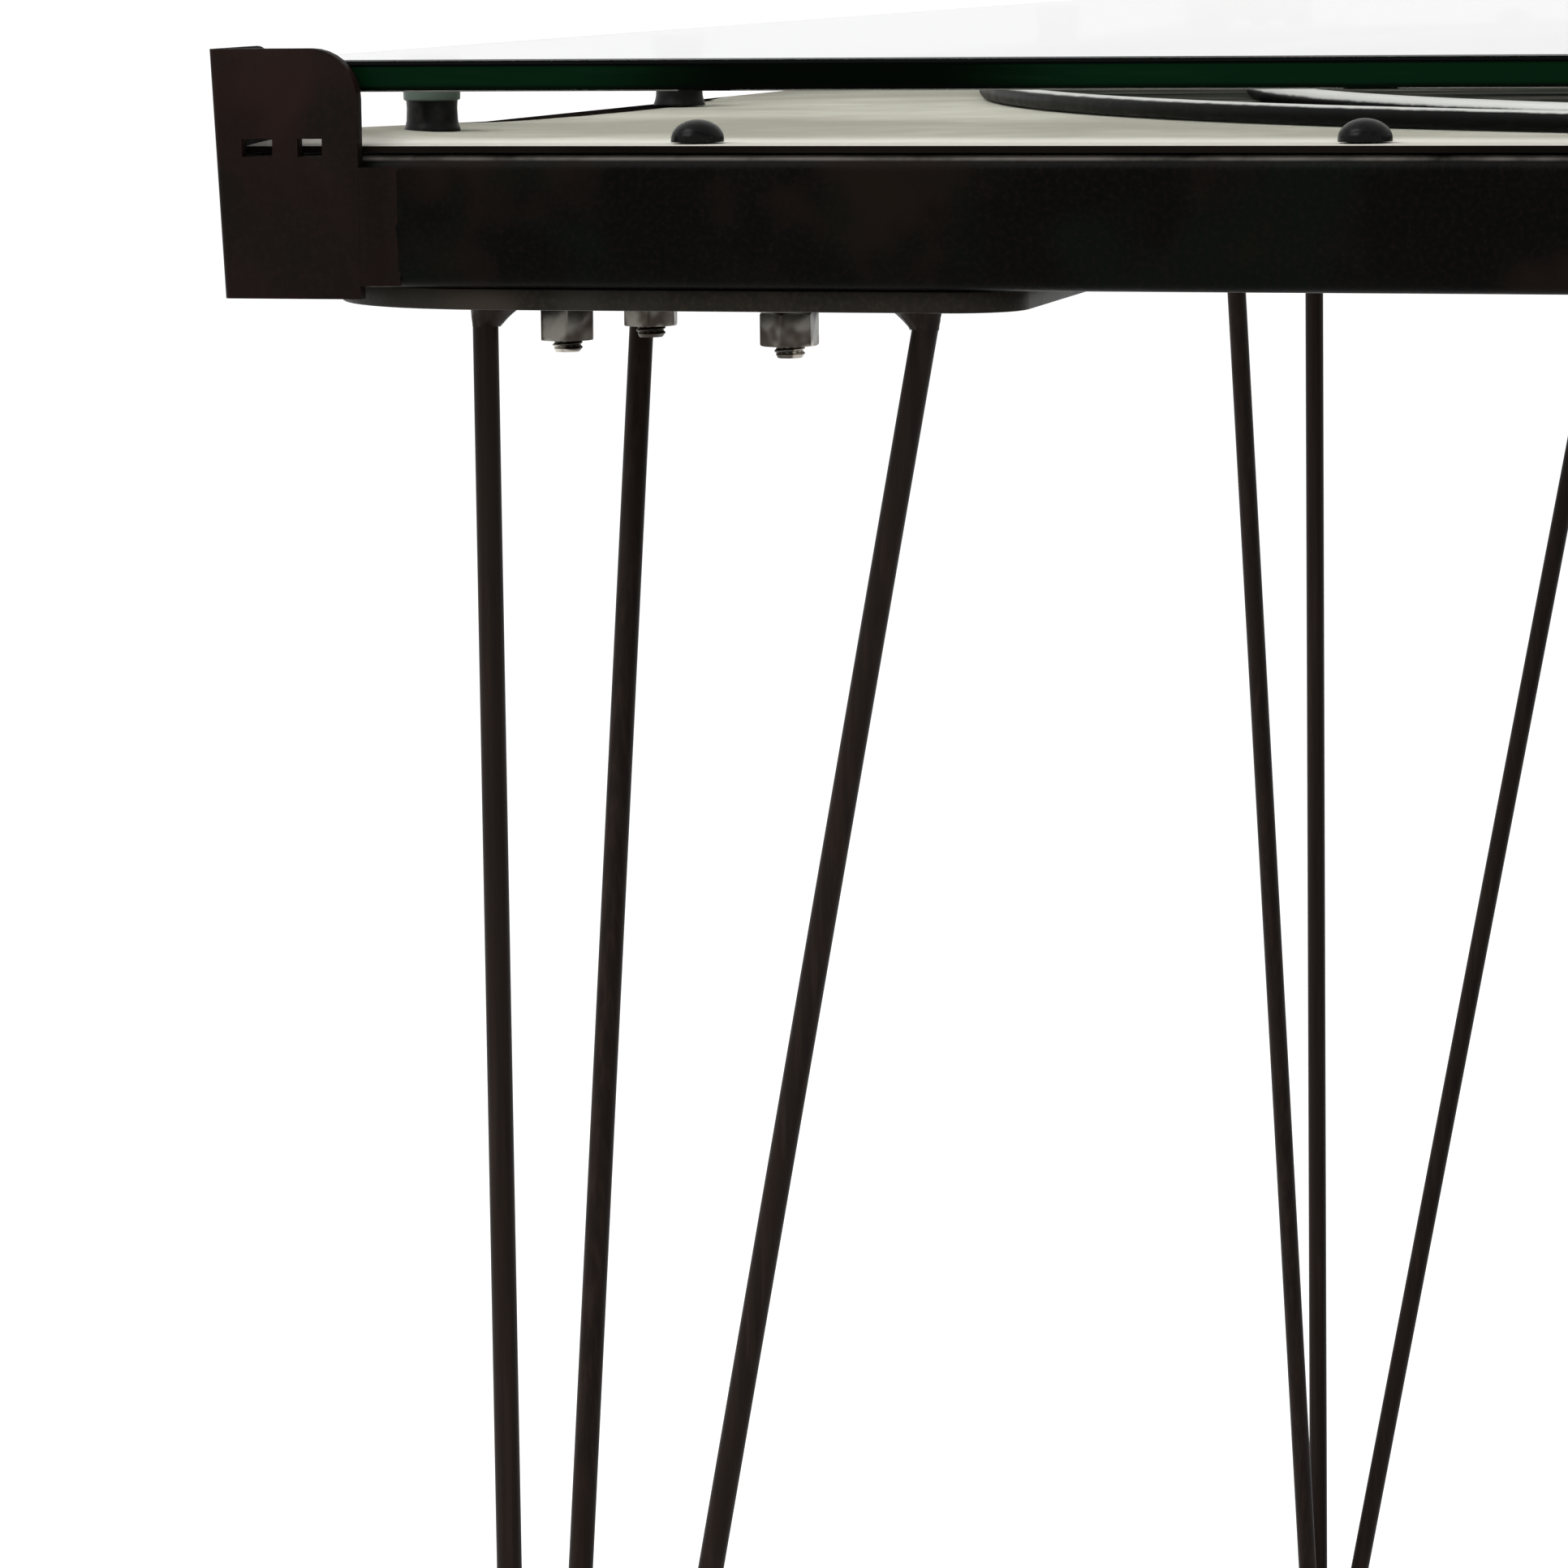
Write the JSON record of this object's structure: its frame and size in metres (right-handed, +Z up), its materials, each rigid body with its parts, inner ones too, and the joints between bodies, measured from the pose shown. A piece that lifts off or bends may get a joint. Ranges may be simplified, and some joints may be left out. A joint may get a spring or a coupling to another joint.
{
  "type": "coffee_table",
  "caption": "Glass-top coffee table: dark steel tube frame with corner angles, pale panel and iron hoops under clear glass, hairpin legs bolted on plates",
  "frame": {"origin": "on the floor under the middle of the table", "axes": "+Z up, +X along the front rail to the right, +Y from the front rail to the rear rail"},
  "size_m": [0.825, 0.7166, 0.467],
  "materials": {
    "patina_steel": "dark brown-black patina, satin",
    "dark_rods": "dark patina, satin",
    "zinc_bolts": "zinc plated",
    "black_screws": "gloss black",
    "worn_iron": "worn forged iron, burnished edges",
    "pale_panel": "pale mottled, matt",
    "black_rubber": "smooth",
    "clear_glass": "clear float glass with a green ground edge"
  },
  "bodies": {
    "root": {"base_panel": "pale_panel", "brace_rod_front_left": "dark_rods", "brace_rod_front_right": "dark_rods", "brace_rod_rear_left": "dark_rods", "brace_rod_rear_right": "dark_rods", "corner_gusset_front_left": "patina_steel", "corner_gusset_front_right": "patina_steel", "corner_gusset_rear_left": "patina_steel", "corner_gusset_rear_right": "patina_steel", "corner_post_front_left": "patina_steel", "corner_post_front_right": "patina_steel", "corner_post_rear_left": "patina_steel", "corner_post_rear_right": "patina_steel", "dome_screw_front_1": "black_screws", "dome_screw_front_2": "black_screws", "dome_screw_front_3": "black_screws", "dome_screw_front_4": "black_screws", "dome_screw_front_5": "black_screws", "dome_screw_front_6": "black_screws", "dome_screw_rear_1": "black_screws", "dome_screw_rear_2": "black_screws", "dome_screw_rear_3": "black_screws", "dome_screw_rear_4": "black_screws", "dome_screw_rear_5": "black_screws", "dome_screw_rear_6": "black_screws", "front_rail": "patina_steel", "glass_bumper_left_1": "black_rubber", "glass_bumper_left_2": "black_rubber", "glass_bumper_left_3": "black_rubber", "glass_bumper_left_4": "black_rubber", "glass_bumper_right_1": "black_rubber", "glass_bumper_right_2": "black_rubber", "glass_bumper_right_3": "black_rubber", "glass_bumper_right_4": "black_rubber", "glass_top": "clear_glass", "hairpin_rod_front_left": "dark_rods", "hairpin_rod_front_right": "dark_rods", "hairpin_rod_rear_left": "dark_rods", "hairpin_rod_rear_right": "dark_rods", "inner_hoop": "worn_iron", "left_rail": "patina_steel", "leg_bolt_front_left_1": "zinc_bolts", "leg_bolt_front_left_2": "zinc_bolts", "leg_bolt_front_left_3": "zinc_bolts", "leg_bolt_front_right_1": "zinc_bolts", "leg_bolt_front_right_2": "zinc_bolts", "leg_bolt_front_right_3": "zinc_bolts", "leg_bolt_rear_left_1": "zinc_bolts", "leg_bolt_rear_left_2": "zinc_bolts", "leg_bolt_rear_left_3": "zinc_bolts", "leg_bolt_rear_right_1": "zinc_bolts", "leg_bolt_rear_right_2": "zinc_bolts", "leg_bolt_rear_right_3": "zinc_bolts", "leg_plate_front_left": "patina_steel", "leg_plate_front_right": "patina_steel", "leg_plate_rear_left": "patina_steel", "leg_plate_rear_right": "patina_steel", "outer_hoop": "worn_iron", "rear_rail": "patina_steel", "right_rail": "patina_steel"}
  },
  "joints": []
}
